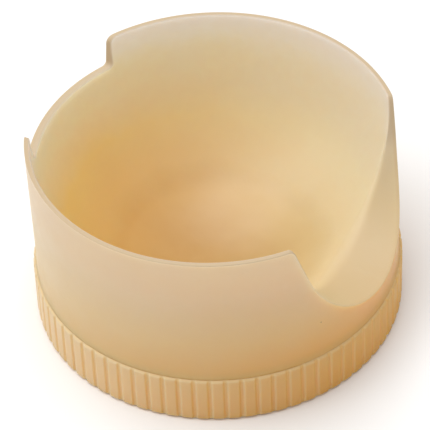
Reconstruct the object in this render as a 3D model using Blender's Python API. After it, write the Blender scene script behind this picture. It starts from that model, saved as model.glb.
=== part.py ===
"""Swivelling pour cup for a screw-neck liquor bottle, modelled as its separate pieces.

A cup with a round bowl, a U-shaped pouring trough and a shallow notch opposite it turns freely on a
ribbed, threaded collar. A split ring holds the two together, a flat gasket seals the cup on the
bottle's lip, and a small poppet valve in the bowl's floor lets the liquor out and keeps flies out.

Metres, +Z up. The origin is the centre of the collar's flat bottom. The pouring trough faces +X and
the notch -X; the cup is symmetric about the XZ plane apart from the notch, which sits a little aside.
"""

import math

import bmesh
import bpy
from mathutils import Matrix, Vector

# Driving dimensions of the cup.
WALL_RADIUS = 0.0219  # outer wall, above its foot
RIM_RADIUS = 0.02207  # outer wall at the rim, which flares a little
FOOT_RADIUS = 0.02206  # the wall's foot, which meets the collar's grooves
FOOT_FLARE_HEIGHT = 0.0011
TOTAL_HEIGHT = 0.02520  # from the collar's bottom to the rim
BOWL_RADIUS = 0.02147  # inner surface of the bowl, a half sphere
BOWL_CENTRE_Z = TOTAL_HEIGHT
BOWL_SHELL = 0.0011  # thickness of the bowl's floor
RIM_ROUND = 0.0002
FLARE_END = math.radians(108)  # where the rim's inner rounding stops, just short of level

# The pouring trough: a U-shaped channel that falls and widens outwards.
TROUGH_FLOOR_Z = 0.0095  # at the outer wall
TROUGH_RADIUS = 0.0156
TROUGH_SIDE_ANGLE = math.radians(24.0)  # of its straight sides from the vertical
TROUGH_FALL = math.radians(8.0)
TROUGH_FLARE = 30.0  # share of its width that it gains for each metre outwards
TROUGH_MOUTH = 0.0143  # half its width where it meets the rim
TROUGH_SHOULDER_ROUND = 0.0011
TROUGH_START_X = 0.001
SHOULDER_END = math.radians(101)  # where the rounding of a corner stops, just short of level

# The notch opposite the trough.
NOTCH_CENTRE_Y = 0.0009
NOTCH_HALF_WIDTH = 0.0094
NOTCH_DEPTH = 0.00415
NOTCH_FOOT_ROUND = 0.0006
NOTCH_CORNER_ROUND = 0.0010

# The ribbed collar.
COLLAR_HEIGHT = 0.0065
RIB_COUNT = 75
RIB_CREST_RADIUS = 0.02236
RIB_ROOT_RADIUS = 0.02212
RIB_CREST_SHARE = 0.72  # of the pitch
RIB_FOOT_SHARE = 0.80
COLLAR_BASE_RADIUS = 0.0220  # where the ribs run out into the bottom edge
COLLAR_CHAMFER = 0.0003
BORE_RADIUS = 0.0190  # clears the threads of a 38 mm neck
BORE_HEIGHT = 0.0043
CAPTURE_RADIUS = 0.0212  # the groove in which the retaining ring turns
LIP_BORE_RADIUS = 0.02015
LIP_THICKNESS = 0.00085
SEAM = 0.00012  # gap between the collar's top and the cup's wall

# The thread in the collar's bore.
THREAD_STARTS = 2
THREAD_LEAD = 0.0042
THREAD_TURN = math.radians(200)
THREAD_CREST_RADIUS = 0.01785
THREAD_FOOT_HALF_HEIGHT = 0.00075
THREAD_CREST_HALF_HEIGHT = 0.00035
THREAD_START_Z = 0.0011
THREAD_RUNOUT_STEPS = 4
THREAD_ROOT_DEPTH = 0.0004  # how far its foot reaches into the collar

# The cup's neck, inside the collar, and the recess that takes the bottle's lip.
NECK_OUTER_RADIUS = 0.01985
NECK_INNER_RADIUS = 0.0179
NECK_BOTTOM_Z = 0.00445
LEDGE_Z = 0.0078
RING_GROOVE_RADIUS = 0.01925
RING_GROOVE_Z = (0.00485, 0.00555)

# The split retaining ring.
RING_INNER_RADIUS = 0.01930
RING_OUTER_RADIUS = 0.02075
RING_Z = (0.00492, 0.00548)
RING_GAP_WIDTH = 0.0050

# The gasket under the cup's ledge.
GASKET_INNER_RADIUS = 0.01475
GASKET_OUTER_RADIUS = 0.0176
GASKET_Z = (0.0065, 0.0075)

# The outlet valve, set off the bowl's centre towards the trough.
OUTLET_X = 0.0068
BOSS_RADIUS = 0.0060
BOSS_BOTTOM_Z = 0.0024
BOSS_TOP_Z = 0.0068
PORT_RADIUS = 0.0026
SEAT_TUBE_OUTER = 0.0025
SEAT_TUBE_INNER = 0.0018
SEAT_Z = (0.0010, 0.0040)
SEAT_FLANGE_RADIUS = 0.0054
SEAT_FLANGE_TOP_Z = 0.0017
SPIDER_Z = (0.0024, 0.0031)
SPIDER_HUB_RADIUS = 0.0010
SPIDER_BORE_RADIUS = 0.00065
SPOKE_COUNT = 3
SPOKE_WIDTH = 0.0006
SPOKE_HEIGHT_SHARE = 0.8  # of the hub's height
SEAL_INNER_RADIUS = 0.0030
SEAL_OUTER_RADIUS = 0.0052
SEAL_Z = (0.0018, 0.0023)
POPPET_HEAD_RADIUS = 0.00215
POPPET_HEAD_Z = (0.0041, 0.0046)
POPPET_DOME = 0.0003
STEM_RADIUS = 0.00056
STEM_BOTTOM_Z = 0.0001
STEM_BULB_RADIUS = 0.0008
STEM_BULB_HEIGHT = 0.0002
KEEPER_INNER_RADIUS = 0.00062
KEEPER_OUTER_RADIUS = 0.00125
KEEPER_Z = (0.00034, 0.00090)

# How finely round shapes are divided.
CUP_SEGMENTS = 96
RING_SEGMENTS = 72
SMALL_SEGMENTS = 32
SMOOTH_ANGLE = math.radians(35)
CUT_MARGIN = 0.004  # how far a cutter passes the material


def clear_scene():
    """Removes whatever the file holds."""
    for obj in list(bpy.data.objects):
        bpy.data.objects.remove(obj, do_unlink=True)


def make_material(name, colour, roughness, transmission=0.0):
    """A plain Principled material."""
    material = bpy.data.materials.new(name)
    material.use_nodes = True
    shader = material.node_tree.nodes["Principled BSDF"]
    shader.inputs["Base Color"].default_value = (*colour, 1.0)
    shader.inputs["Roughness"].default_value = roughness
    shader.inputs["Metallic"].default_value = 0.0
    shader.inputs["Transmission Weight"].default_value = transmission
    material.diffuse_color = (*colour, 1.0)
    return material


def arc(centre, radius, start, end, steps):
    """Points along an arc in the plane of an outline, both ends included. Angles are in radians."""
    return [
        (
            centre[0] + radius * math.cos(start + (end - start) * step / steps),
            centre[1] + radius * math.sin(start + (end - start) * step / steps),
        )
        for step in range(steps + 1)
    ]


def finish_object(name, bm, material=None):
    """Turns a bmesh into a scene object with its faces pointing out, smooth where it is round."""
    bmesh.ops.recalc_face_normals(bm, faces=bm.faces)
    mesh = bpy.data.meshes.new(name)
    bm.to_mesh(mesh)
    bm.free()
    mesh.shade_smooth()
    mesh.set_sharp_from_angle(angle=SMOOTH_ANGLE)
    obj = bpy.data.objects.new(name, mesh)
    bpy.context.scene.collection.objects.link(obj)
    if material:
        mesh.materials.append(material)
    return obj


def revolve(name, outline, segments, material=None, closed=True):
    """A solid of revolution about Z from an outline of (radius, height) points.

    An outline that isn't closed starts and ends on the axis.
    """
    bm = bmesh.new()
    verts = [bm.verts.new((radius, 0.0, height)) for radius, height in outline]
    edges = [bm.edges.new(pair) for pair in zip(verts, verts[1:])]
    if closed:
        edges.append(bm.edges.new((verts[-1], verts[0])))
    bmesh.ops.spin(
        bm,
        geom=verts + edges,
        cent=(0, 0, 0),
        axis=(0, 0, 1),
        angle=2 * math.pi,
        steps=segments,
        use_merge=True,
    )
    bmesh.ops.remove_doubles(bm, verts=bm.verts, dist=1e-7)
    return finish_object(name, bm, material)


def tube(name, radii, heights, segments, material=None):
    """A plain ring with a rectangular section."""
    inner, outer = radii
    low, high = heights
    outline = [(inner, low), (outer, low), (outer, high), (inner, high)]
    return revolve(name, outline, segments, material)


def disc(name, radius, heights, segments, material=None):
    """A plain solid disc."""
    low, high = heights
    outline = [(0.0, low), (radius, low), (radius, high), (0.0, high)]
    return revolve(name, outline, segments, material, closed=False)


def channel(name, outline, x_range, fall=0.0, flare=0.0):
    """A cutter along X from an outline of (y, z) points, which it has where it passes the wall.

    Inwards of the wall it rises by tan(fall), and it narrows by the share flare for each metre.
    """
    bm = bmesh.new()
    verts = [bm.verts.new((x_range[0], y, z)) for y, z in outline]
    face = bm.faces.new(verts)
    grown = bmesh.ops.extrude_face_region(bm, geom=[face])["geom"]
    moved = [item for item in grown if isinstance(item, bmesh.types.BMVert)]
    bmesh.ops.translate(bm, verts=moved, vec=(x_range[1] - x_range[0], 0, 0))
    for vert in bm.verts:
        inwards = WALL_RADIUS - vert.co.x
        vert.co.y *= 1 - inwards * flare
        vert.co.z += inwards * math.tan(fall)
    return finish_object(name, bm)


def box(name, size, centre):
    """A plain block."""
    bm = bmesh.new()
    bmesh.ops.create_cube(bm, size=1.0, matrix=Matrix.Translation(centre) @ Matrix.Diagonal((*size, 1.0)))
    return finish_object(name, bm)


def boolean(target, tool, operation):
    """Cuts the tool from the target, or joins it on, and hides the tool."""
    modifier = target.modifiers.new(tool.name, "BOOLEAN")
    modifier.object = tool
    modifier.operation = operation
    modifier.solver = "EXACT"
    tool.hide_render = True
    tool.display_type = "WIRE"


def mirrored(half):
    """A whole (y, z) outline from its half at y >= 0, which starts at the lowest point."""
    return [(-y, z) for y, z in reversed(half) if y > 0] + half


def foot_flare(foot_z):
    """The wall's outside from its foot up: a hollow curve that ends on the plain wall."""
    steps = 4
    return [
        (
            WALL_RADIUS + (FOOT_RADIUS - WALL_RADIUS) * (1 - step / steps) ** 2,
            foot_z + FOOT_FLARE_HEIGHT * step / steps,
        )
        for step in range(steps + 1)
    ]


def cup_blank_outline():
    """The cup without its bowl: wall, underside, neck and the recess for the bottle's lip."""
    shell_radius = BOWL_RADIUS + BOWL_SHELL
    ledge_radius = math.sqrt(shell_radius**2 - (BOWL_CENTRE_Z - LEDGE_Z) ** 2)
    centre = (0.0, BOWL_CENTRE_Z)
    edge = math.asin(ledge_radius / shell_radius)
    wall_foot_z = COLLAR_HEIGHT + SEAM
    underside = arc(centre, shell_radius, -math.pi / 2, -math.pi / 2 + edge, 6)
    underside[0] = (0.0, underside[0][1])
    groove_low, groove_high = RING_GROOVE_Z
    neck = [
        (NECK_INNER_RADIUS, LEDGE_Z),
        (NECK_INNER_RADIUS, NECK_BOTTOM_Z),
        (NECK_OUTER_RADIUS, NECK_BOTTOM_Z),
        (NECK_OUTER_RADIUS, groove_low),
        (RING_GROOVE_RADIUS, groove_low),
        (RING_GROOVE_RADIUS, groove_high),
        (NECK_OUTER_RADIUS, groove_high),
        (NECK_OUTER_RADIUS, wall_foot_z),
    ]
    rim = arc((RIM_RADIUS - RIM_ROUND, TOTAL_HEIGHT - RIM_ROUND), RIM_ROUND, 0.0, math.pi / 2, 3)
    return underside + neck + foot_flare(wall_foot_z) + rim + [(0.0, TOTAL_HEIGHT)]


def bowl_outline():
    """The bowl's hollow: a half sphere and a flare that rounds the rim."""
    hollow = arc((0.0, BOWL_CENTRE_Z), BOWL_RADIUS, -math.pi / 2, 0.0, 15)
    hollow[0] = (0.0, hollow[0][1])
    flare_centre = (BOWL_RADIUS + RIM_ROUND, TOTAL_HEIGHT - RIM_ROUND)
    flare = arc(flare_centre, RIM_ROUND, math.pi, FLARE_END, 2)
    above = TOTAL_HEIGHT + CUT_MARGIN
    return hollow[:-1] + flare + [(flare[-1][0], above), (0.0, above)]


def trough_outline():
    """The U of the trough at the outer wall: a round floor, leaning sides and rounded shoulders."""
    centre_z = TROUGH_FLOOR_Z + TROUGH_RADIUS
    floor_end = math.pi / 2 - TROUGH_SIDE_ANGLE
    floor = arc((0.0, centre_z), TROUGH_RADIUS, -math.pi / 2, -math.pi / 2 + floor_end, 9)
    floor[0] = (0.0, TROUGH_FLOOR_Z)
    # The shoulders lie where the channel, risen by its fall, meets the rim.
    side_y, side_z = floor[-1]
    shoulder_x = math.sqrt(WALL_RADIUS**2 - TROUGH_MOUTH**2)
    rim_z = TOTAL_HEIGHT - (WALL_RADIUS - shoulder_x) * math.tan(TROUGH_FALL)
    corner_y = side_y + (rim_z - side_z) * math.tan(TROUGH_SIDE_ANGLE)
    # The arc that rounds the corner touches the leaning side and the rim.
    reach = TROUGH_SHOULDER_ROUND * math.tan((math.pi / 2 - TROUGH_SIDE_ANGLE) / 2)
    round_centre = (corner_y + reach, rim_z - TROUGH_SHOULDER_ROUND)
    shoulder = arc(round_centre, TROUGH_SHOULDER_ROUND, math.pi - TROUGH_SIDE_ANGLE, SHOULDER_END, 4)
    top = rim_z + 2 * CUT_MARGIN
    return mirrored(floor + shoulder + [(shoulder[-1][0] + SEAM, top)])


def notch_outline():
    """The notch: a flat floor, upright sides, rounded feet and rounded corners at the rim."""
    floor_z = TOTAL_HEIGHT - NOTCH_DEPTH
    foot_centre = (NOTCH_HALF_WIDTH - NOTCH_FOOT_ROUND, floor_z + NOTCH_FOOT_ROUND)
    foot = arc(foot_centre, NOTCH_FOOT_ROUND, -math.pi / 2, 0.0, 3)
    corner_centre = (NOTCH_HALF_WIDTH + NOTCH_CORNER_ROUND, TOTAL_HEIGHT - NOTCH_CORNER_ROUND)
    corner = arc(corner_centre, NOTCH_CORNER_ROUND, math.pi, SHOULDER_END, 4)
    top = TOTAL_HEIGHT + CUT_MARGIN
    return mirrored(foot + corner + [(corner[-1][0] + SEAM, top)])


def make_pour_cup(material):
    """The cup: bowl, wall, trough and notch in one moulding, with the boss that takes the valve."""
    cup = revolve("pour_cup", cup_blank_outline(), CUP_SEGMENTS, material, closed=False)
    boss = disc("boss_tool", BOSS_RADIUS, (BOSS_BOTTOM_Z, BOSS_TOP_Z), SMALL_SEGMENTS)
    boss.location.x = OUTLET_X
    boolean(cup, boss, "UNION")
    bowl = revolve("bowl_tool", bowl_outline(), CUP_SEGMENTS, closed=False)
    boolean(cup, bowl, "DIFFERENCE")
    far = WALL_RADIUS + CUT_MARGIN
    trough_x = (TROUGH_START_X, far)
    trough = channel("trough_tool", trough_outline(), trough_x, TROUGH_FALL, TROUGH_FLARE)
    boolean(cup, trough, "DIFFERENCE")
    notch = channel("notch_tool", notch_outline(), (-far, -WALL_RADIUS / 2))
    notch.location.y = NOTCH_CENTRE_Y
    boolean(cup, notch, "DIFFERENCE")
    port = disc("port_tool", PORT_RADIUS, (0.0, BOWL_CENTRE_Z), SMALL_SEGMENTS)
    port.location.x = OUTLET_X
    boolean(cup, port, "DIFFERENCE")
    return cup


def rib_plan(crest_radius, root_radius, height):
    """One level of the ribbed outside: four points for each rib, with a groove facing +X."""
    pitch = 2 * math.pi / RIB_COUNT
    points = []
    for rib in range(RIB_COUNT):
        middle = (rib + 0.5) * pitch
        for share, radius in (
            (-RIB_FOOT_SHARE, root_radius),
            (-RIB_CREST_SHARE, crest_radius),
            (RIB_CREST_SHARE, crest_radius),
            (RIB_FOOT_SHARE, root_radius),
        ):
            angle = middle + share * pitch / 2
            points.append(Vector((radius * math.cos(angle), radius * math.sin(angle), height)))
    return points


def make_ribbed_blank(name, material):
    """The collar's outside as a solid: low ribs on a drum, run out at the bottom, chamfered on top."""
    chamfer = COLLAR_CHAMFER
    levels = [
        (COLLAR_BASE_RADIUS, COLLAR_BASE_RADIUS, 0.0),
        (RIB_CREST_RADIUS, RIB_ROOT_RADIUS, chamfer),
        (RIB_CREST_RADIUS, RIB_ROOT_RADIUS, COLLAR_HEIGHT - chamfer / 2),
        (RIB_CREST_RADIUS - chamfer / 2, FOOT_RADIUS, COLLAR_HEIGHT),
    ]
    bm = bmesh.new()
    loops = [[bm.verts.new(point) for point in rib_plan(*level)] for level in levels]
    for lower, upper in zip(loops, loops[1:]):
        for index in range(len(lower)):
            after = (index + 1) % len(lower)
            bm.faces.new((lower[index], lower[after], upper[after], upper[index]))
    bm.faces.new(list(reversed(loops[0])))
    bm.faces.new(loops[-1])
    return finish_object(name, bm, material)


def thread_section(angle, centre_z, fullness):
    """Four corners of the thread ridge's section; fullness shrinks it towards the bore at its ends."""
    foot_radius = BORE_RADIUS + THREAD_ROOT_DEPTH
    crest_radius = BORE_RADIUS + (THREAD_CREST_RADIUS - BORE_RADIUS) * fullness
    corners = (
        (foot_radius, -THREAD_FOOT_HALF_HEIGHT),
        (crest_radius, -THREAD_CREST_HALF_HEIGHT),
        (crest_radius, THREAD_CREST_HALF_HEIGHT),
        (foot_radius, THREAD_FOOT_HALF_HEIGHT),
    )
    return [Vector((r * math.cos(angle), r * math.sin(angle), centre_z + z)) for r, z in corners]


def make_thread(name, start_angle):
    """One helical ridge inside the collar, faded in and out at its ends."""
    steps = round(RING_SEGMENTS * THREAD_TURN / (2 * math.pi))
    bm = bmesh.new()
    sections = []
    for step in range(steps + 1):
        turned = THREAD_TURN * step / steps
        centre_z = THREAD_START_Z + THREAD_LEAD * turned / (2 * math.pi)
        from_end = min(step, steps - step) + 0.5
        fullness = min(1.0, from_end / THREAD_RUNOUT_STEPS)
        section = thread_section(start_angle + turned, centre_z, fullness)
        sections.append([bm.verts.new(corner) for corner in section])
    for before, after in zip(sections, sections[1:]):
        for index in range(4):
            beside = (index + 1) % 4
            bm.faces.new((before[index], before[beside], after[beside], after[index]))
    bm.faces.new(sections[0])
    bm.faces.new(list(reversed(sections[-1])))
    return finish_object(name, bm)


def make_grip_collar(material):
    """The ribbed collar: threaded bore below, a groove for the retaining ring and a lip above it."""
    collar = make_ribbed_blank("grip_collar", material)
    lip_z = COLLAR_HEIGHT - LIP_THICKNESS
    bore = [
        (0.0, -CUT_MARGIN),
        (BORE_RADIUS, -CUT_MARGIN),
        (BORE_RADIUS, BORE_HEIGHT),
        (CAPTURE_RADIUS, BORE_HEIGHT),
        (CAPTURE_RADIUS, lip_z),
        (LIP_BORE_RADIUS, lip_z),
        (LIP_BORE_RADIUS, COLLAR_HEIGHT + CUT_MARGIN),
        (0.0, COLLAR_HEIGHT + CUT_MARGIN),
    ]
    boolean(collar, revolve("bore_tool", bore, CUP_SEGMENTS, closed=False), "DIFFERENCE")
    for start in range(THREAD_STARTS):
        ridge = make_thread(f"thread_tool_{start + 1}", 2 * math.pi * start / THREAD_STARTS)
        boolean(collar, ridge, "UNION")


def make_retaining_ring(material):
    """The split ring that sits in the neck's groove and turns under the collar's lip."""
    ring = tube("retaining_ring", (RING_INNER_RADIUS, RING_OUTER_RADIUS), RING_Z, RING_SEGMENTS, material)
    gap_size = (2 * CUT_MARGIN, RING_GAP_WIDTH, 2 * CUT_MARGIN)
    gap = box("ring_gap_tool", gap_size, (-RING_INNER_RADIUS, 0.0, RING_Z[0]))
    boolean(ring, gap, "DIFFERENCE")
    return ring


def make_neck_gasket(material):
    """The flat ring that the bottle's lip presses against the cup's ledge."""
    radii = (GASKET_INNER_RADIUS, GASKET_OUTER_RADIUS)
    return tube("neck_gasket", radii, GASKET_Z, RING_SEGMENTS, material)


def make_outlet_seat(material):
    """The flanged bush in the bowl's floor: its top is the valve's seat, its spider guides the stem."""
    low, high = SEAT_Z
    outline = [
        (SEAT_TUBE_INNER, low),
        (SEAT_FLANGE_RADIUS, low),
        (SEAT_FLANGE_RADIUS, SEAT_FLANGE_TOP_Z),
        (SEAT_TUBE_OUTER, SEAT_FLANGE_TOP_Z),
        (SEAT_TUBE_OUTER, high),
        (SEAT_TUBE_INNER, high),
    ]
    seat = revolve("outlet_seat", outline, SMALL_SEGMENTS, material)
    hub = tube("hub_tool", (SPIDER_BORE_RADIUS, SPIDER_HUB_RADIUS), SPIDER_Z, SMALL_SEGMENTS)
    spoke_inner = (SPIDER_BORE_RADIUS + SPIDER_HUB_RADIUS) / 2
    spoke_outer = (SEAT_TUBE_INNER + SEAT_TUBE_OUTER) / 2
    # The spokes stop short of the hub's ends, so no two of their faces coincide.
    spoke_height = (SPIDER_Z[1] - SPIDER_Z[0]) * SPOKE_HEIGHT_SHARE
    size = (spoke_outer - spoke_inner, SPOKE_WIDTH, spoke_height)
    centre = ((spoke_outer + spoke_inner) / 2, 0.0, sum(SPIDER_Z) / 2)
    for spoke in range(SPOKE_COUNT):
        arm = box(f"spoke_tool_{spoke + 1}", size, centre)
        arm.rotation_euler.z = math.pi + 2 * math.pi * spoke / SPOKE_COUNT
        arm.location.x = OUTLET_X
        boolean(seat, arm, "UNION")
    hub.location.x = OUTLET_X
    boolean(seat, hub, "UNION")
    seat.location.x = OUTLET_X
    return seat


def make_seat_seal(material):
    """The washer between the outlet seat's flange and the cup's boss."""
    seal = tube("seat_seal", (SEAL_INNER_RADIUS, SEAL_OUTER_RADIUS), SEAL_Z, SMALL_SEGMENTS, material)
    seal.location.x = OUTLET_X
    return seal


def make_valve_poppet(material):
    """The mushroom valve: a domed head on the seat, and a stem whose end is swaged to a bulb."""
    head_low, head_high = POPPET_HEAD_Z
    # The dome is the cap of a sphere through the head's edge and its crown.
    dome_radius = (POPPET_HEAD_RADIUS**2 + POPPET_DOME**2) / (2 * POPPET_DOME)
    dome_centre = (0.0, head_high + POPPET_DOME - dome_radius)
    half_angle = math.asin(POPPET_HEAD_RADIUS / dome_radius)
    dome = arc(dome_centre, dome_radius, math.pi / 2 - half_angle, math.pi / 2, 4)
    dome[-1] = (0.0, head_high + POPPET_DOME)
    bulb_top = STEM_BOTTOM_Z + STEM_BULB_HEIGHT
    stem = [
        (0.0, STEM_BOTTOM_Z),
        (STEM_BULB_RADIUS, STEM_BOTTOM_Z),
        (STEM_BULB_RADIUS, bulb_top),
        (STEM_RADIUS, bulb_top),
        (STEM_RADIUS, head_low),
        (POPPET_HEAD_RADIUS, head_low),
    ]
    poppet = revolve("valve_poppet", stem + dome, SMALL_SEGMENTS, material, closed=False)
    poppet.location.x = OUTLET_X
    return poppet


def make_poppet_keeper(material):
    """The small washer above the stem's bulb, which stops the poppet under the spider's hub."""
    radii = (KEEPER_INNER_RADIUS, KEEPER_OUTER_RADIUS)
    keeper = tube("poppet_keeper", radii, KEEPER_Z, SMALL_SEGMENTS, material)
    keeper.location.x = OUTLET_X
    return keeper


def add_pivot(name, location, children):
    """An empty on a joint's axis that carries the pieces which move about or along it."""
    pivot = bpy.data.objects.new(name, None)
    pivot.location = location
    bpy.context.scene.collection.objects.link(pivot)
    bpy.context.view_layer.update()
    for child in children:
        child.parent = pivot
        child.matrix_parent_inverse = pivot.matrix_world.inverted()
    return pivot


def build():
    """Makes the materials and every piece, and hangs the moving ones on their joints' axes."""
    clear_scene()
    amber = make_material("amber_polymer", (0.66, 0.44, 0.20), 0.38, 0.25)
    collar_amber = make_material("collar_polymer", (0.60, 0.36, 0.13), 0.42, 0.2)
    acetal = make_material("natural_acetal", (0.86, 0.84, 0.78), 0.35)
    silicone = make_material("clear_silicone", (0.74, 0.72, 0.66), 0.5, 0.3)

    make_grip_collar(collar_amber)
    cup = make_pour_cup(amber)
    ring = make_retaining_ring(acetal)
    gasket = make_neck_gasket(silicone)
    seat = make_outlet_seat(acetal)
    seal = make_seat_seal(silicone)
    poppet = make_valve_poppet(acetal)
    keeper = make_poppet_keeper(acetal)

    poppet_axis = add_pivot("poppet_lift_axis", (OUTLET_X, 0.0, SEAT_Z[1]), (poppet, keeper))
    turning = (cup, ring, gasket, seat, seal, poppet_axis)
    add_pivot("cup_swivel_axis", (0.0, 0.0, COLLAR_HEIGHT), turning)


build()
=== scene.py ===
"""The looks of the swivelling pour cup: fine meshes, translucent amber materials, light and camera.

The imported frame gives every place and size. Two CAD nodes, the cup and the ribbed collar, are shown
by finer meshes of the same shape; the other nodes stay and only get their materials.
"""

import math

import bmesh
import bpy
from mathutils import Matrix, Vector


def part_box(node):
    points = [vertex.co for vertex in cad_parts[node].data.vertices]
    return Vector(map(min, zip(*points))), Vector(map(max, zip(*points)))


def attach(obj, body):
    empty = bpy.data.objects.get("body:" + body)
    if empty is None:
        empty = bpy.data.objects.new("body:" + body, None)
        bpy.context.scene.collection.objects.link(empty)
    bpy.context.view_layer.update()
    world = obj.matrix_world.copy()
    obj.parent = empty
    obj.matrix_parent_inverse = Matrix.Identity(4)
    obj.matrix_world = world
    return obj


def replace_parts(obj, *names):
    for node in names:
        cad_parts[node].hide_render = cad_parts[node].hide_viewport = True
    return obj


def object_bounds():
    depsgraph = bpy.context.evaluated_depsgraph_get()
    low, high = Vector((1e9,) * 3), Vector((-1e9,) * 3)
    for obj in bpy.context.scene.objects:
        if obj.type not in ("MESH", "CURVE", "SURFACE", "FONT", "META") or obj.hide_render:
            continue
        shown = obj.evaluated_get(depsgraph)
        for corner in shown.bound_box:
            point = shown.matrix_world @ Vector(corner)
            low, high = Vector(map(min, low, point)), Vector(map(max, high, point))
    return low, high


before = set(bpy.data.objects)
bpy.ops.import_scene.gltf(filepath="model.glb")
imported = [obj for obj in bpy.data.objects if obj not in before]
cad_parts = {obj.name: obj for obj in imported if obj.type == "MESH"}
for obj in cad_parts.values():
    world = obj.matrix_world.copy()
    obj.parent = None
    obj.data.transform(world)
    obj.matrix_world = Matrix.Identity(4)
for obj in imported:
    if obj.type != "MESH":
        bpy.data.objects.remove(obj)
cad_low, cad_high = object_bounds()
collar_low, collar_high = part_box("grip_collar")
cup_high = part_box("pour_cup")[1]

# Sizes taken from the frame, in metres.
CREST_RADIUS = min(collar_high.x, collar_high.y, -collar_low.x, -collar_low.y)
COLLAR_TOP = collar_high.z
CUP_TOP = cup_high.z
RIM_RADIUS = cup_high.y
BASE_Z = cad_low.z

# The cup's other sizes.
WALL_RADIUS = 0.0219
FOOT_RADIUS = 0.02206
FOOT_FLARE_HEIGHT = 0.0011
SEAM = 0.00002  # the gap between the wall's foot and the collar
FOOT_Z = COLLAR_TOP + SEAM
BOWL_RADIUS = 0.02147
BOWL_CENTRE_Z = CUP_TOP
SHELL_RADIUS = BOWL_RADIUS + 0.0011
LEDGE_Z = 0.0078
NECK_OUTER = 0.01985
NECK_INNER = 0.0179
NECK_BOTTOM = 0.00445
RING_GROOVE_RADIUS = 0.01925
RING_GROOVE_Z = (0.00485, 0.00555)

# The trough and the notch are cut by lines along X, through an outline that stands at the wall.
TROUGH_FLOOR_Z = 0.0095
TROUGH_RADIUS = 0.0156
TROUGH_SIDE = math.radians(24.0)
TROUGH_MOUTH = 0.0143
SHOULDER_ROUND = 0.0011
NOTCH_CENTRE_Y = 0.0009
NOTCH_HALF_WIDTH = 0.0094
NOTCH_DEPTH = 0.00415
NOTCH_FOOT_ROUND = 0.0006
NOTCH_CORNER_ROUND = 0.0010
NOTCH_DRAFT = math.radians(3.0)

# Each cut's side on the X axis, the y of its middle, its fall outwards and how much it widens for
# each metre outwards.
TROUGH_FALL = math.radians(8.0)
TROUGH_CUT = (1, 0.0, TROUGH_FALL, 30.0)
NOTCH_CUT = (-1, NOTCH_CENTRE_Y, 0.0, 0.0)

# How soft the moulding's edges are.
OUTER_EDGE = 0.00013
INNER_EDGE = 0.00015
CREASE_SHARE = 0.25  # of a wide strip, taken up by the rounding at its inner edge
NARROW_STRIP = 0.0008  # up to this width the strip across the edge counts as a thin rim

# The collar.
RIB_COUNT = 75
VALLEY_RADIUS = 0.02218  # between two ribs
BASE_RADIUS = 0.0220
FOOT_FACE_RADIUS = 0.0205  # a place on the flat foot, inside the ribs
LIP_FACE_RADIUS = 0.0216  # a place on the flat top, where the ribs have run out
COLLAR_EDGE = 0.0003
RIB_ROWS_Z = (0.0015, 0.0030, 0.0045, 0.0058)
BORE_RADIUS = 0.0190
BORE_TOP = 0.0043
CAPTURE_RADIUS = 0.0212
LIP_BORE = 0.02015
LIP_UNDER = COLLAR_TOP - 0.00085

# The bottle's neck thread, a ridge with two starts.
THREAD_STARTS = 2
THREAD_LEAD = 0.0042
THREAD_TURN = math.radians(200)
THREAD_CREST_RADIUS = 0.01785
THREAD_START_Z = 0.0011
THREAD_ROOT_RADIUS = BORE_RADIUS + 0.0004
THREAD_CREST_ROUND = 0.0001
THREAD_ROOT_HALF = 0.00075
THREAD_SHOULDER_HALF = 0.00042
THREAD_CREST_HALF = 0.00030

# The mesh layer that marks edges and the thin rim, which also carries the rim's painted shade, and
# the direction towards the main light, which also parts the painted lit colours from the painted
# shaded ones.
EDGE_LAYER = "edge"
KEY_DIRECTION = (-0.657, -0.394, 0.643)

# Where the polymer's colours change, and how far its scattering fades away from the seam.
BOWL_SKIN_RADIUS = 0.0215
WALL_SKIN_RADIUS = 0.0218
SEAM_FADE = 0.0008
AMBER_SCATTER = (0.0022, 0.0019, 0.0016)

# The valve's boss and port.
OUTLET_X = (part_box("valve_poppet")[0].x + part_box("valve_poppet")[1].x) / 2
BOSS_RADIUS = 0.0060
BOSS_BOTTOM = 0.0024
BOSS_TOP = 0.0068
BOSS_TRIM_RADIUS = BOWL_RADIUS + 0.0004
PORT_RADIUS = 0.0026


# ---------------------------------------------------------------- outlines


def arc(centre, radius, start, end, steps):
    """Points along an arc in the plane of an outline, both ends included."""
    return [
        (
            centre[0] + radius * math.cos(start + (end - start) * step / steps),
            centre[1] + radius * math.sin(start + (end - start) * step / steps),
        )
        for step in range(steps + 1)
    ]


def line(start, end, steps):
    """Points along a line, without its ends."""
    return [
        (
            start[0] + (end[0] - start[0]) * step / steps,
            start[1] + (end[1] - start[1]) * step / steps,
        )
        for step in range(1, steps)
    ]


def trough_half():
    """Half of the trough's U at y >= 0, from its lowest point to where it meets the rim."""
    floor_end = math.pi / 2 - TROUGH_SIDE
    centre_z = TROUGH_FLOOR_Z + TROUGH_RADIUS
    floor = arc((0.0, centre_z), TROUGH_RADIUS, -math.pi / 2, -math.pi / 2 + floor_end, 34)
    side_y, side_z = floor[-1]
    shoulder_x = math.sqrt(WALL_RADIUS**2 - TROUGH_MOUTH**2)
    rim_z = CUP_TOP - (WALL_RADIUS - shoulder_x) * math.tan(TROUGH_FALL)
    corner_y = side_y + (rim_z - side_z) * math.tan(TROUGH_SIDE)
    reach = SHOULDER_ROUND * math.tan((math.pi / 2 - TROUGH_SIDE) / 2)
    centre = (corner_y + reach, rim_z - SHOULDER_ROUND)
    shoulder = arc(centre, SHOULDER_ROUND, math.pi - TROUGH_SIDE, math.pi / 2 + 0.12, 10)
    return floor + line(floor[-1], shoulder[0], 22) + shoulder


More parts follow.
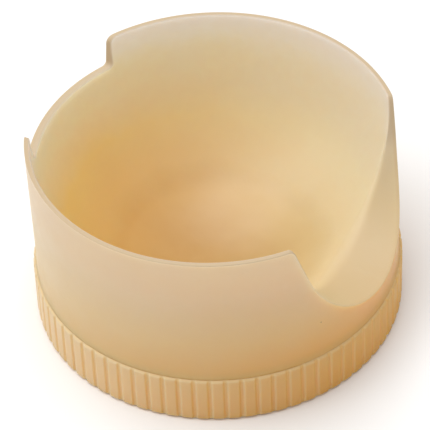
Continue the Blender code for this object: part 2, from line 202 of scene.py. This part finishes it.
def notch_half():
    """Half of the notch at y >= 0, from the middle of its floor to where it meets the rim."""
    floor_z = CUP_TOP - NOTCH_DEPTH
    foot_centre = (NOTCH_HALF_WIDTH - NOTCH_FOOT_ROUND, floor_z + NOTCH_FOOT_ROUND)
    foot = arc(foot_centre, NOTCH_FOOT_ROUND, -math.pi / 2, -NOTCH_DRAFT, 7)
    lean = NOTCH_DEPTH * math.tan(NOTCH_DRAFT)
    corner_centre = (NOTCH_HALF_WIDTH + NOTCH_CORNER_ROUND + lean, CUP_TOP - NOTCH_CORNER_ROUND)
    corner = arc(corner_centre, NOTCH_CORNER_ROUND, math.pi - NOTCH_DRAFT, math.pi / 2, 10)
    middle = (0.0, floor_z)
    return [middle] + line(middle, foot[0], 28) + foot + line(foot[-1], corner[0], 7) + corner


# ---------------------------------------------------------------- the cup's surfaces


def wall_radius_at(z):
    """Radius of the cup's outer wall, which has a slight draft and a foot that flares outwards."""
    flare_top = FOOT_Z + FOOT_FLARE_HEIGHT
    draft = (z - flare_top) / (CUP_TOP - flare_top)
    flare = (flare_top - z) / FOOT_FLARE_HEIGHT
    plain = WALL_RADIUS + (RIM_RADIUS - WALL_RADIUS) * min(max(draft, 0.0), 1.0)
    return plain + (FOOT_RADIUS - WALL_RADIUS) * min(max(flare, 0.0), 1.0) ** 2


def bowl_radius_at(z):
    """Radius of the bowl's inner surface, which is a half sphere."""
    below = max(0.0, BOWL_CENTRE_Z - z)
    return math.sqrt(max(0.0, BOWL_RADIUS**2 - below**2))


def meet(y, z, radius_at, cut):
    """Where the cutting line through (y, z) at the wall meets a round surface."""
    side, middle, fall, flare = cut
    x = side * WALL_RADIUS
    for _ in range(60):
        inwards = WALL_RADIUS - side * x
        height = min(z + inwards * math.tan(fall), CUP_TOP)
        across = middle + y * (1 - inwards * flare)
        reach = radius_at(height) ** 2 - across**2
        x = (x + side * math.sqrt(max(0.0, reach))) / 2
    return Vector((x, across, height))


def cut_stations(half, cut):
    """The outer and inner ends of a cut's lines, from its lowest y to its highest."""
    outline = [(-y, z) for y, z in reversed(half) if y > 0] + half
    return [(meet(y, z, wall_radius_at, cut), meet(y, z, bowl_radius_at, cut)) for y, z in outline]


def rim_stations(before, after, count):
    """The rim's outer and inner edge between two stations, which are left out."""
    stations = []
    for step in range(1, count):
        station = []
        for start, end, radius in zip(before, after, (RIM_RADIUS, BOWL_RADIUS)):
            sweep = (angle_of(end) - angle_of(start)) % (2 * math.pi)
            angle = angle_of(start) + sweep * step / count
            station.append(Vector((radius * math.cos(angle), radius * math.sin(angle), CUP_TOP)))
        stations.append(tuple(station))
    return stations


def angle_of(point):
    """Angle about the cup's axis, from 0 to a full turn."""
    return math.atan2(point.y, point.x) % (2 * math.pi)


def edge_stations():
    """The cup's whole upper edge as pairs of an outer and an inner point, anticlockwise."""
    trough = cut_stations(trough_half(), TROUGH_CUT)
    notch = list(reversed(cut_stations(notch_half(), NOTCH_CUT)))
    left_rim = rim_stations(trough[-1], notch[0], 80)
    right_rim = rim_stations(notch[-1], trough[0], 80)
    return trough + left_rim + notch + right_rim


def inward_on(points, sphere):
    """For each edge point, the unit direction that leaves the edge down the bowl or down the wall."""
    directions = []
    count = len(points)
    for index, point in enumerate(points):
        along = points[(index + 1) % count] - points[index - 1]
        if sphere:
            normal = point - Vector((0.0, 0.0, BOWL_CENTRE_Z))
        else:
            normal = Vector((point.x, point.y, 0.0))
        leaving = normal.normalized().cross(along)
        if leaving.z > 0:
            leaving = -leaving
        directions.append(leaving.normalized())
    return directions


def rounded(corner, first, second, reach, steps):
    """Points that round a corner, from a point along the first direction to one along the second."""
    start = corner + first * reach
    end = corner + second * reach
    points = []
    for step in range(steps + 1):
        t = step / steps
        points.append(start * (1 - t) ** 2 + corner * (2 * t * (1 - t)) + end * t**2)
    return points


def wall_column(point, steps):
    """From a point near the edge down the outer wall to its foot, in ever shorter steps."""
    angle = math.atan2(point.y, point.x)
    column = []
    for step in range(1, steps + 1):
        left = 1 - step / steps
        z = FOOT_Z + SEAM + (point.z - FOOT_Z - SEAM) * left**1.6
        radius = wall_radius_at(z)
        column.append(Vector((radius * math.cos(angle), radius * math.sin(angle), z)))
    return column


def bowl_column(point, steps):
    """From a point near the edge down the bowl to just short of its lowest point."""
    angle = math.atan2(point.y, point.x)
    column = []
    polar_start = math.acos((point.z - BOWL_CENTRE_Z) / BOWL_RADIUS)
    for step in range(1, steps + 1):
        polar = polar_start + (math.pi - polar_start) * step / (steps + 1)
        radius = BOWL_RADIUS * math.sin(polar)
        z = BOWL_CENTRE_Z + BOWL_RADIUS * math.cos(polar)
        column.append(Vector((radius * math.cos(angle), radius * math.sin(angle), z)))
    return column


def underside_outline():
    """(radius, height) points under the cup, from the wall's foot to just short of the axis."""
    edge = OUTER_EDGE / 2
    foot = [(FOOT_RADIUS - SEAM, FOOT_Z)]
    low, high = RING_GROOVE_Z
    neck = [
        (NECK_OUTER, FOOT_Z),
        (NECK_OUTER, high),
        (RING_GROOVE_RADIUS, high),
        (RING_GROOVE_RADIUS, low),
        (NECK_OUTER, low),
        (NECK_OUTER, NECK_BOTTOM + edge),
        (NECK_OUTER - edge, NECK_BOTTOM),
        (NECK_INNER + edge, NECK_BOTTOM),
        (NECK_INNER, NECK_BOTTOM + edge),
        (NECK_INNER, LEDGE_Z),
    ]
    ledge = math.sqrt(SHELL_RADIUS**2 - (BOWL_CENTRE_Z - LEDGE_Z) ** 2)
    start = -math.pi / 2 + math.asin(ledge / SHELL_RADIUS)
    shell = arc((0.0, BOWL_CENTRE_Z), SHELL_RADIUS, start, -math.pi / 2, 14)[:-1]
    return foot + neck + shell


# ---------------------------------------------------------------- meshes


def grid_solid(bm, columns, bottom, top):
    """Faces between neighbouring closed columns of vertices, with a fan at each end point."""
    count = len(columns)
    rows = len(columns[0])
    for index in range(count):
        here = columns[index]
        there = columns[(index + 1) % count]
        for row in range(rows - 1):
            bm.faces.new((here[row], here[row + 1], there[row + 1], there[row]))
        bm.faces.new((bottom, here[0], there[0]))
        bm.faces.new((here[-1], top, there[-1]))


def object_from(bm, name, sharp_degrees):
    """Makes the bmesh a smooth-shaded object, sharp only at steep angles."""
    bmesh.ops.recalc_face_normals(bm, faces=bm.faces)
    mesh = bpy.data.meshes.new(name)
    bm.to_mesh(mesh)
    bm.free()
    mesh.shade_smooth()
    mesh.set_sharp_from_angle(angle=math.radians(sharp_degrees))
    obj = bpy.data.objects.new(name, mesh)
    bpy.context.scene.collection.objects.link(obj)
    return obj


def cylinder_tool(name, radius, low, high, x):
    """A hidden cylinder for a Boolean."""
    bm = bmesh.new()
    depth = high - low
    bmesh.ops.create_cone(
        bm,
        cap_ends=True,
        segments=64,
        radius1=radius,
        radius2=radius,
        depth=depth,
        matrix=Matrix.Translation((x, 0.0, low + depth / 2)),
    )
    return object_from(bm, name, 30)


def apply_boolean(target, tool, operation):
    """Joins or cuts with the tool, applies the result to the mesh and removes the tool."""
    modifier = target.modifiers.new("join", "BOOLEAN")
    modifier.object = tool
    modifier.operation = operation
    modifier.solver = "EXACT"
    depsgraph = bpy.context.evaluated_depsgraph_get()
    made = bpy.data.meshes.new_from_object(target.evaluated_get(depsgraph))
    target.modifiers.clear()
    target.data = made
    bpy.data.objects.remove(tool)


def smooth_step(t):
    """A soft rise from 0 to 1."""
    t = min(max(t, 0.0), 1.0)
    return t * t * (3 - 2 * t)


def cup_column(outer, inner, down_wall, down_bowl):
    """A closed column's points under the cup, up the wall, across the edge and down the bowl.

    Also gives how many points come before the strip across the edge, how many are in the strip, and
    how many of those round its inner edge.
    """
    across = (inner - outer).normalized()
    width = (inner - outer).length
    crease = max(INNER_EDGE, (width - NARROW_STRIP) * CREASE_SHARE)
    outer_round = rounded(outer, down_wall, across, OUTER_EDGE, 4)
    inner_round = rounded(inner, -across, down_bowl, crease, 6)
    gap = inner_round[0] - outer_round[-1]
    face = [outer_round[-1] + gap * step / 8 for step in range(1, 8)]
    wall = list(reversed(wall_column(outer_round[0], 16)))
    angle = math.atan2(wall[0].y, wall[0].x)
    below = []
    for radius, z in reversed(underside_outline()):
        below.append(Vector((radius * math.cos(angle), radius * math.sin(angle), z)))
    strip = outer_round + face + inner_round
    points = below + wall + strip + bowl_column(inner_round[-1], 30)
    return points, len(below) + len(wall), len(strip), len(inner_round)


def mark_strip(column, layer, start, strip, inner_count, width):
    """Marks the strip across the edge, where the material paints shade: fully where it is narrow, and
    less towards the bowl.
    """
    mark = 0.55 + 0.35 * (1 - smooth_step((width - NARROW_STRIP) / NARROW_STRIP))
    for offset in range(1, strip - 1):
        fade = min(1.0, (strip - offset) / inner_count)
        column[start + offset][layer] = mark * fade


def build_cup():
    """The whole cup as one closed mesh, rounded at every edge of the rim, trough and notch."""
    stations = edge_stations()
    outer = [pair[0] for pair in stations]
    inner = [pair[1] for pair in stations]
    down_wall = inward_on(outer, sphere=False)
    down_bowl = inward_on(inner, sphere=True)
    bm = bmesh.new()
    edge_layer = bm.verts.layers.float.new(EDGE_LAYER)
    columns = []
    for ends in zip(outer, inner, down_wall, down_bowl):
        points, start, strip, inner_count = cup_column(*ends)
        column = [bm.verts.new(point) for point in points]
        mark_strip(column, edge_layer, start, strip, inner_count, (ends[1] - ends[0]).length)
        columns.append(column)
    bottom = bm.verts.new((0.0, 0.0, BOWL_CENTRE_Z - SHELL_RADIUS))
    top = bm.verts.new((0.0, 0.0, BOWL_CENTRE_Z - BOWL_RADIUS))
    grid_solid(bm, columns, bottom, top)
    cup = object_from(bm, "cup_moulding", 50)
    add_outlet(cup)
    cup.data.shade_smooth()
    cup.data.set_sharp_from_angle(angle=math.radians(50))
    return cup


def add_outlet(cup):
    """Joins the valve's boss, trimmed to the bowl, and cuts the port through it."""
    boss = cylinder_tool("boss", BOSS_RADIUS, BOSS_BOTTOM, BOSS_TOP, OUTLET_X)
    trim_bm = bmesh.new()
    bmesh.ops.create_uvsphere(
        trim_bm,
        u_segments=128,
        v_segments=96,
        radius=BOSS_TRIM_RADIUS,
        matrix=Matrix.Translation((0, 0, BOWL_CENTRE_Z)),
    )
    apply_boolean(boss, object_from(trim_bm, "bowl_trim", 60), "DIFFERENCE")
    apply_boolean(cup, boss, "UNION")
    port = cylinder_tool("port", PORT_RADIUS, 0.0, BOWL_CENTRE_Z, OUTLET_X)
    apply_boolean(cup, port, "DIFFERENCE")


def rib_profile():
    """(share of the pitch, share of the rib's height) points across one rib, starting in a groove."""
    foot, crest = 0.05, 0.21
    side = [(foot + (crest - foot) * step / 6, smooth_step(step / 6)) for step in range(7)]
    crown = [(0.27, 1.0), (0.34, 1.0), (0.42, 1.0), (0.50, 1.0)]
    rising = [(0.0, 0.0), (0.025, 0.0)] + side + crown
    falling = [(1 - share, height) for share, height in reversed(rising) if 0 < share < 0.5]
    return rising + falling


def collar_outline():
    """The collar's section as (groove's radius, height, rib's fullness) rows, round the whole ring.

    The rib's height times the fullness is added to the radius where a rib stands.
    """
    rows = [(BORE_RADIUS + COLLAR_EDGE, BASE_Z, 0.0), (FOOT_FACE_RADIUS, BASE_Z, 0.0)]
    for step in range(6):
        rise = step / 5
        radius = BASE_RADIUS + (VALLEY_RADIUS - BASE_RADIUS) * math.sin(rise * math.pi / 2)
        rows.append((radius, BASE_Z + COLLAR_EDGE * 1.2 * rise, smooth_step(rise)))
    rows += [(VALLEY_RADIUS, z, 1.0) for z in RIB_ROWS_Z]
    for step in range(6):
        rise = step / 5
        radius = VALLEY_RADIUS + (FOOT_RADIUS - VALLEY_RADIUS) * rise**2
        rows.append((radius, COLLAR_TOP - COLLAR_EDGE * (1 - rise), 1.0 - 0.75 * rise**2))
    rows += [
        (LIP_FACE_RADIUS, COLLAR_TOP, 0.0),
        (LIP_BORE, COLLAR_TOP, 0.0),
        (LIP_BORE, LIP_UNDER, 0.0),
        (CAPTURE_RADIUS, LIP_UNDER, 0.0),
        (CAPTURE_RADIUS, BORE_TOP, 0.0),
        (BORE_RADIUS, BORE_TOP, 0.0),
        (BORE_RADIUS, BASE_Z + COLLAR_EDGE, 0.0),
    ]
    return rows


def build_collar():
    """The ribbed collar as one closed ring, with soft ribs, a rounded foot and its stepped bore."""
    rib_height = CREST_RADIUS - VALLEY_RADIUS
    pitch = 2 * math.pi / RIB_COUNT
    rows = collar_outline()
    bm = bmesh.new()
    columns = []
    for rib in range(RIB_COUNT):
        for share, height in rib_profile():
            angle = (rib + share) * pitch
            column = []
            for radius, z, fullness in rows:
                reach = radius + rib_height * height * fullness
                column.append(bm.verts.new((reach * math.cos(angle), reach * math.sin(angle), z)))
            columns.append(column)
    for here, there in zip(columns, columns[1:] + columns[:1]):
        for row in range(len(rows)):
            after = (row + 1) % len(rows)
            bm.faces.new((here[row], here[after], there[after], there[row]))
    collar = object_from(bm, "collar_moulding", 40)
    for start in range(THREAD_STARTS):
        thread = build_thread(f"thread_{start + 1}", 2 * math.pi * start / THREAD_STARTS)
        apply_boolean(collar, thread, "UNION")
    collar.data.shade_smooth()
    collar.data.set_sharp_from_angle(angle=math.radians(40))
    return collar


def build_thread(name, start_angle):
    """One helical ridge inside the collar, faded in and out at its ends."""
    steps = 120
    fade = 12
    bm = bmesh.new()
    sections = []
    for step in range(steps + 1):
        turned = THREAD_TURN * step / steps
        angle = start_angle + turned
        z = THREAD_START_Z + THREAD_LEAD * turned / (2 * math.pi)
        fullness = smooth_step((min(step, steps - step) + 1) / fade)
        crest = BORE_RADIUS + (THREAD_CREST_RADIUS - BORE_RADIUS) * fullness
        corners = (
            (THREAD_ROOT_RADIUS, -THREAD_ROOT_HALF),
            (crest + THREAD_CREST_ROUND, -THREAD_SHOULDER_HALF),
            (crest, -THREAD_CREST_HALF),
            (crest, THREAD_CREST_HALF),
            (crest + THREAD_CREST_ROUND, THREAD_SHOULDER_HALF),
            (THREAD_ROOT_RADIUS, THREAD_ROOT_HALF),
        )
        section = []
        for radius, offset in corners:
            point = (radius * math.cos(angle), radius * math.sin(angle), z + offset)
            section.append(bm.verts.new(point))
        sections.append(section)
    for before, after in zip(sections, sections[1:]):
        for index in range(len(before)):
            beside = (index + 1) % len(before)
            bm.faces.new((before[index], before[beside], after[beside], after[index]))
    bm.faces.new(sections[0])
    bm.faces.new(list(reversed(sections[-1])))
    return object_from(bm, name, 40)


# ---------------------------------------------------------------- materials


class Nodes:
    """A small helper that adds and links shader nodes."""

    def __init__(self, name):
        self.material = bpy.data.materials.new(name)
        self.material.use_nodes = True
        self.tree = self.material.node_tree
        self.shader = self.tree.nodes["Principled BSDF"]
        self.coords = self.add("ShaderNodeTexCoord").outputs["Object"]

    def add(self, kind, **settings):
        """A new node with its properties set."""
        node = self.tree.nodes.new(kind)
        for key, value in settings.items():
            setattr(node, key, value)
        return node

    def link(self, source, target):
        """Joins an output to an input."""
        self.tree.links.new(source, target)

    def noise(self, scale, detail=2.0, roughness=0.5):
        """A noise factor in the object's own coordinates."""
        node = self.add("ShaderNodeTexNoise")
        node.inputs["Scale"].default_value = scale
        node.inputs["Detail"].default_value = detail
        node.inputs["Roughness"].default_value = roughness
        self.link(self.coords, node.inputs["Vector"])
        return node.outputs["Fac"]

    def map(self, value, from_range, to_range):
        """A clamped change of range."""
        node = self.add("ShaderNodeMapRange")
        node.inputs["From Min"].default_value = from_range[0]
        node.inputs["From Max"].default_value = from_range[1]
        node.inputs["To Min"].default_value = to_range[0]
        node.inputs["To Max"].default_value = to_range[1]
        self.link(value, node.inputs["Value"])
        return node.outputs["Result"]

    def ramp(self, value, stops):
        """A colour ramp of (position, colour) stops."""
        node = self.add("ShaderNodeValToRGB")
        elements = node.color_ramp.elements
        while len(elements) < len(stops):
            elements.new(0.5)
        for element, (position, colour) in zip(elements, stops):
            element.position = position
            element.color = (*colour, 1.0)
        self.link(value, node.inputs["Fac"])
        return node.outputs["Color"]

    def mix(self, factor, first, second, blend="MIX"):
        """A colour mix; each input is a socket or a plain value."""
        node = self.add("ShaderNodeMix", data_type="RGBA", blend_type=blend)
        for value, socket in ((factor, 0), (first, 6), (second, 7)):
            if hasattr(value, "links"):
                self.link(value, node.inputs[socket])
            elif socket == 0:
                node.inputs[socket].default_value = value
            else:
                node.inputs[socket].default_value = (*value, 1.0)
        return node.outputs[2]

    def math(self, operation, first, second):
        """A math node; each input is a socket or a number."""
        node = self.add("ShaderNodeMath", operation=operation)
        for index, value in enumerate((first, second)):
            if hasattr(value, "links"):
                self.link(value, node.inputs[index])
            else:
                node.inputs[index].default_value = value
        return node.outputs[0]

    def height(self):
        """The object's own Z."""
        node = self.add("ShaderNodeSeparateXYZ")
        self.link(self.coords, node.inputs[0])
        return node.outputs["Z"]

    def radius(self):
        """The distance from the object's own Z axis."""
        flat = self.add("ShaderNodeVectorMath", operation="MULTIPLY")
        flat.inputs[1].default_value = (1.0, 1.0, 0.0)
        self.link(self.coords, flat.inputs[0])
        length = self.add("ShaderNodeVectorMath", operation="LENGTH")
        self.link(flat.outputs["Vector"], length.inputs[0])
        return length.outputs["Value"]

    def facing(self, direction):
        """The cosine between the surface's normal and a direction."""
        product = self.add("ShaderNodeVectorMath", operation="DOT_PRODUCT")
        self.link(self.add("ShaderNodeNewGeometry").outputs["Normal"], product.inputs[0])
        product.inputs[1].default_value = Vector(direction).normalized()
        return product.outputs["Value"]

    def bump(self, height, distance, strength=1.0):
        """Bump from a height socket, chained on any bump already there."""
        node = self.add("ShaderNodeBump")
        node.inputs["Distance"].default_value = distance
        node.inputs["Strength"].default_value = strength
        self.link(height, node.inputs["Height"])
        before = self.shader.inputs["Normal"]
        if before.links:
            self.link(before.links[0].from_socket, node.inputs["Normal"])
        self.link(node.outputs["Normal"], before)


def speck_mask(nodes, scale, size, keep):
    """1 inside a few tiny specks scattered through the material, 0 elsewhere."""
    cells = nodes.add("ShaderNodeTexVoronoi")
    cells.inputs["Scale"].default_value = scale
    nodes.link(nodes.coords, cells.inputs["Vector"])
    near = nodes.map(cells.outputs["Distance"], (size * 0.6, size), (1.0, 0.0))
    chosen = nodes.math("LESS_THAN", cells.outputs["Color"], keep)
    return nodes.math("MULTIPLY", near, chosen)


def amber_material(name, inside, outside, radii, heights, seam, roughness, scatter):
    """Translucent amber polymer with painted light and shade: paler where it faces the key light,
    deeper orange where it faces away.

    Inside and outside are pairs of ramps by height, one for surfaces that face the light and one for
    those that don't; the radii part the inside from the outside. The scattering fades out between the
    seam's two heights, because light can't get across the seam. Scatter is the scattering distance of
    red, green and blue light, in metres.
    """
    nodes = Nodes(name)
    cloud = nodes.map(nodes.noise(90.0, 3.0), (0.3, 0.7), (-0.03, 0.03))
    level = nodes.math("ADD", nodes.map(nodes.height(), heights, (0.0, 1.0)), cloud)
    # Painted light and shade: surfaces that face the key light take the pale lit ramps, those that
    # face away the deep orange shaded ones.
    facing = nodes.map(nodes.facing(KEY_DIRECTION), (-0.5, 1.0), (0.0, 1.0))
    outwards = nodes.map(nodes.radius(), radii, (0.0, 1.0))
    skins = []
    for lit, away in (inside, outside):
        skins.append(nodes.mix(facing, nodes.ramp(level, away), nodes.ramp(level, lit)))
    colour = nodes.mix(outwards, skins[0], skins[1])
    fine = nodes.map(nodes.noise(700.0, 2.0), (0.3, 0.7), (0.0, 0.06))
    colour = nodes.mix(fine, colour, (0.62, 0.40, 0.20))
    specks = speck_mask(nodes, 170.0, 0.022, 0.25)
    colour = nodes.mix(nodes.math("MULTIPLY", specks, 0.8), colour, (0.14, 0.07, 0.03))
    edge = nodes.add("ShaderNodeAttribute", attribute_name=EDGE_LAYER).outputs["Fac"]
    # Painted shade: the marked rim strip is drawn towards a darker brownish tan.
    colour = nodes.mix(edge, colour, (0.55, 0.42, 0.27))
    shader = nodes.shader
    nodes.link(colour, shader.inputs["Base Color"])
    haze = nodes.map(nodes.noise(260.0, 3.0, 0.6), (0.3, 0.7), (roughness - 0.05, roughness + 0.08))
    nodes.link(nodes.math("ADD", haze, nodes.math("MULTIPLY", edge, 0.2)), shader.inputs["Roughness"])
    shader.subsurface_method = "RANDOM_WALK"
    depth = nodes.map(nodes.height(), seam, (0.25, 1.0))
    nodes.link(nodes.math("SUBTRACT", depth, edge), shader.inputs["Subsurface Weight"])
    nodes.link(nodes.map(edge, (0.0, 1.0), (0.55, 0.15)), shader.inputs["Specular IOR Level"])
    shader.inputs["Subsurface Radius"].default_value = scatter
    shader.inputs["Subsurface Scale"].default_value = 1.0
    shader.inputs["IOR"].default_value = 1.46
    nodes.bump(nodes.noise(1500.0, 2.0, 0.55), 0.00002, 0.5)
    nodes.bump(nodes.noise(300.0, 2.0, 0.5), 0.00006, 0.35)
    return nodes.material


def cup_amber():
    """The cup's polymer with painted light and shade: pale at the rim, deep orange low down where the
    light doesn't reach.
    """
    return amber_material(
        "amber_polymer",
        # In each pair the first ramp is painted lit and the second painted shaded; both deepen
        # towards the bottom as painted shade.
        inside=(
            (
                (0.00, (0.48, 0.32, 0.13)),
                (0.13, (0.58, 0.43, 0.21)),
                (0.23, (0.68, 0.55, 0.33)),
                (0.44, (0.72, 0.63, 0.42)),
                (0.70, (0.72, 0.66, 0.51)),
                (0.87, (0.72, 0.67, 0.59)),
                (1.00, (0.72, 0.67, 0.64)),
            ),
            (
                (0.00, (0.60, 0.26, 0.04)),
                (0.13, (0.69, 0.31, 0.03)),
                (0.23, (0.78, 0.40, 0.05)),
                (0.44, (0.86, 0.56, 0.14)),
                (0.65, (0.84, 0.73, 0.43)),
                (0.87, (0.77, 0.73, 0.65)),
                (1.00, (0.76, 0.71, 0.68)),
            ),
        ),
        outside=(
            (
                (0.13, (0.64, 0.47, 0.23)),
                (0.39, (0.66, 0.51, 0.29)),
                (0.74, (0.65, 0.52, 0.34)),
                (1.00, (0.60, 0.47, 0.33)),
            ),
            (
                (0.13, (0.73, 0.34, 0.05)),
                (0.39, (0.74, 0.46, 0.17)),
                (0.74, (0.72, 0.54, 0.32)),
                (1.00, (0.69, 0.53, 0.36)),
            ),
        ),
        radii=(BOWL_SKIN_RADIUS, WALL_SKIN_RADIUS),
        heights=(BOWL_CENTRE_Z - BOWL_RADIUS, CUP_TOP),
        seam=(FOOT_Z, FOOT_Z + SEAM_FADE),
        roughness=0.37,
        scatter=AMBER_SCATTER,
    )


def collar_amber():
    """The collar's polymer: golden between the ribs and paler on them, with painted light and shade
    by how each face turns to the key light.
    """
    return amber_material(
        "collar_polymer",
        # The inside ramps colour the grooves and the outside ramps the ribs; in each pair the first
        # is painted lit, the second painted shaded.
        inside=(
            ((0.0, (0.76, 0.57, 0.31)), (1.0, (0.78, 0.59, 0.33))),
            ((0.0, (0.76, 0.40, 0.09)), (1.0, (0.78, 0.43, 0.11))),
        ),
        outside=(
            ((0.0, (0.74, 0.55, 0.33)), (1.0, (0.74, 0.56, 0.35))),
            ((0.0, (0.67, 0.32, 0.04)), (1.0, (0.68, 0.36, 0.08))),
        ),
        radii=(VALLEY_RADIUS, CREST_RADIUS),
        heights=(BASE_Z, COLLAR_TOP),
        seam=(COLLAR_TOP, COLLAR_TOP - SEAM_FADE),
        roughness=0.48,
        scatter=AMBER_SCATTER,
    )


def plain_moulding(name, colour, deep, roughness, scale):
    """A natural white or milky plastic for the inner pieces."""
    nodes = Nodes(name)
    cloud = nodes.map(nodes.noise(420.0, 3.0), (0.3, 0.7), (0.0, 0.35))
    nodes.link(nodes.mix(cloud, colour, deep), nodes.shader.inputs["Base Color"])
    haze = nodes.noise(900.0, 2.0)
    rough = nodes.map(haze, (0.3, 0.7), (roughness - 0.06, roughness + 0.06))
    nodes.link(rough, nodes.shader.inputs["Roughness"])
    nodes.shader.inputs["Subsurface Weight"].default_value = 0.6
    nodes.shader.inputs["Subsurface Radius"].default_value = (1.0, 0.8, 0.6)
    nodes.shader.inputs["Subsurface Scale"].default_value = scale
    nodes.bump(nodes.noise(2600.0, 2.0), 0.00001, 0.5)
    return nodes.material


def natural_acetal():
    """The valve's and the retaining ring's off-white plastic."""
    return plain_moulding("natural_acetal", (0.68, 0.66, 0.59), (0.61, 0.58, 0.49), 0.42, 0.001)


def clear_silicone():
    """The seals' milky rubber."""
    return plain_moulding("clear_silicone", (0.62, 0.61, 0.56), (0.55, 0.53, 0.46), 0.50, 0.0015)


def dress(obj, material):
    """Gives an object one material."""
    obj.data.materials.clear()
    obj.data.materials.append(material)


# ---------------------------------------------------------------- stage


FLOOR_GAP = 0.00005


def make_floor():
    """A plain pale floor that is part of the stage."""
    bm = bmesh.new()
    bmesh.ops.create_grid(bm, x_segments=1, y_segments=1, size=3.0)
    floor = object_from(bm, "stage_floor", 30)
    floor.location.z = BASE_Z - FLOOR_GAP
    nodes = Nodes("floor_paper")
    nodes.shader.inputs["Base Color"].default_value = (0.92, 0.92, 0.92, 1.0)
    nodes.shader.inputs["Roughness"].default_value = 0.9
    nodes.shader.inputs["Specular IOR Level"].default_value = 0.1
    dress(floor, nodes.material)


def area_light(name, direction, distance, size, energy, colour):
    """A soft square light that points at the object from a direction."""
    light = bpy.data.lights.new(name, "AREA")
    light.size = size
    light.energy = energy
    light.color = colour
    obj = bpy.data.objects.new(name, light)
    bpy.context.scene.collection.objects.link(obj)
    middle = (cad_low + cad_high) / 2
    obj.location = middle + Vector(direction).normalized() * distance
    obj.rotation_euler = (middle - obj.location).to_track_quat("-Z", "Y").to_euler()


def make_world(strength):
    """Even white surroundings."""
    world = bpy.data.worlds.new("studio")
    world.use_nodes = True
    background = world.node_tree.nodes["Background"]
    background.inputs["Color"].default_value = (1.0, 1.0, 1.0, 1.0)
    background.inputs["Strength"].default_value = strength
    bpy.context.scene.world = world


# The view: from the front, to the left of the trough, well above the rim.
VIEW_AZIMUTH = math.radians(27.1)
VIEW_ELEVATION = math.radians(43.73)
VIEW_ROLL = math.radians(-2.605)
VIEW_DISTANCE = 0.3469
AIM_HEIGHT = 0.0121
CAMERA_OFFSET = Vector((-0.000137, -0.000115, 0.0))  # along the camera's right and up
SENSOR = 36.0
LENS = 242.28


def make_camera():
    """A long lens that looks down on the cup, rolled a little."""
    data = bpy.data.cameras.new("camera")
    data.sensor_width = SENSOR
    data.lens = LENS
    data.clip_start = 0.01
    data.clip_end = 20.0
    camera = bpy.data.objects.new("camera", data)
    bpy.context.scene.collection.objects.link(camera)
    back = Vector(
        (
            math.sin(VIEW_AZIMUTH) * math.cos(VIEW_ELEVATION),
            -math.cos(VIEW_AZIMUTH) * math.cos(VIEW_ELEVATION),
            math.sin(VIEW_ELEVATION),
        )
    )
    level = (-back).to_track_quat("-Z", "Y").to_matrix().to_4x4()
    turn = level @ Matrix.Rotation(VIEW_ROLL, 4, "Z")
    aim = Vector((0.0, 0.0, AIM_HEIGHT))
    camera.location = aim + back * VIEW_DISTANCE + turn.to_3x3() @ CAMERA_OFFSET
    camera.rotation_euler = turn.to_euler()
    bpy.context.scene.camera = camera


def light_scene():
    """A large soft key from the left of the camera, a softbox overhead and dim even surroundings."""
    make_world(0.52)
    area_light(
        "key",
        direction=KEY_DIRECTION,
        distance=0.6,
        size=0.38,
        energy=0.58,
        colour=(1.0, 0.985, 0.96),
    )
    area_light(
        "overhead",
        direction=(-0.2, -0.02, 1.0),
        distance=0.8,
        size=0.70,
        energy=5.0,
        colour=(1.0, 1.0, 1.0),
    )
    bpy.context.scene.view_settings.view_transform = "Standard"


# ---------------------------------------------------------------- assembly


cup = build_cup()
collar = build_collar()
dress(cup, cup_amber())
dress(collar, collar_amber())

acetal = natural_acetal()
silicone = clear_silicone()
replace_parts(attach(cup, "cup"), "pour_cup")
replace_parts(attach(collar, "collar"), "grip_collar")
for node in ("retaining_ring", "outlet_seat", "valve_poppet", "poppet_keeper"):
    dress(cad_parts[node], acetal)
for node in ("neck_gasket", "seat_seal"):
    dress(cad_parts[node], silicone)

make_floor()
light_scene()
make_camera()
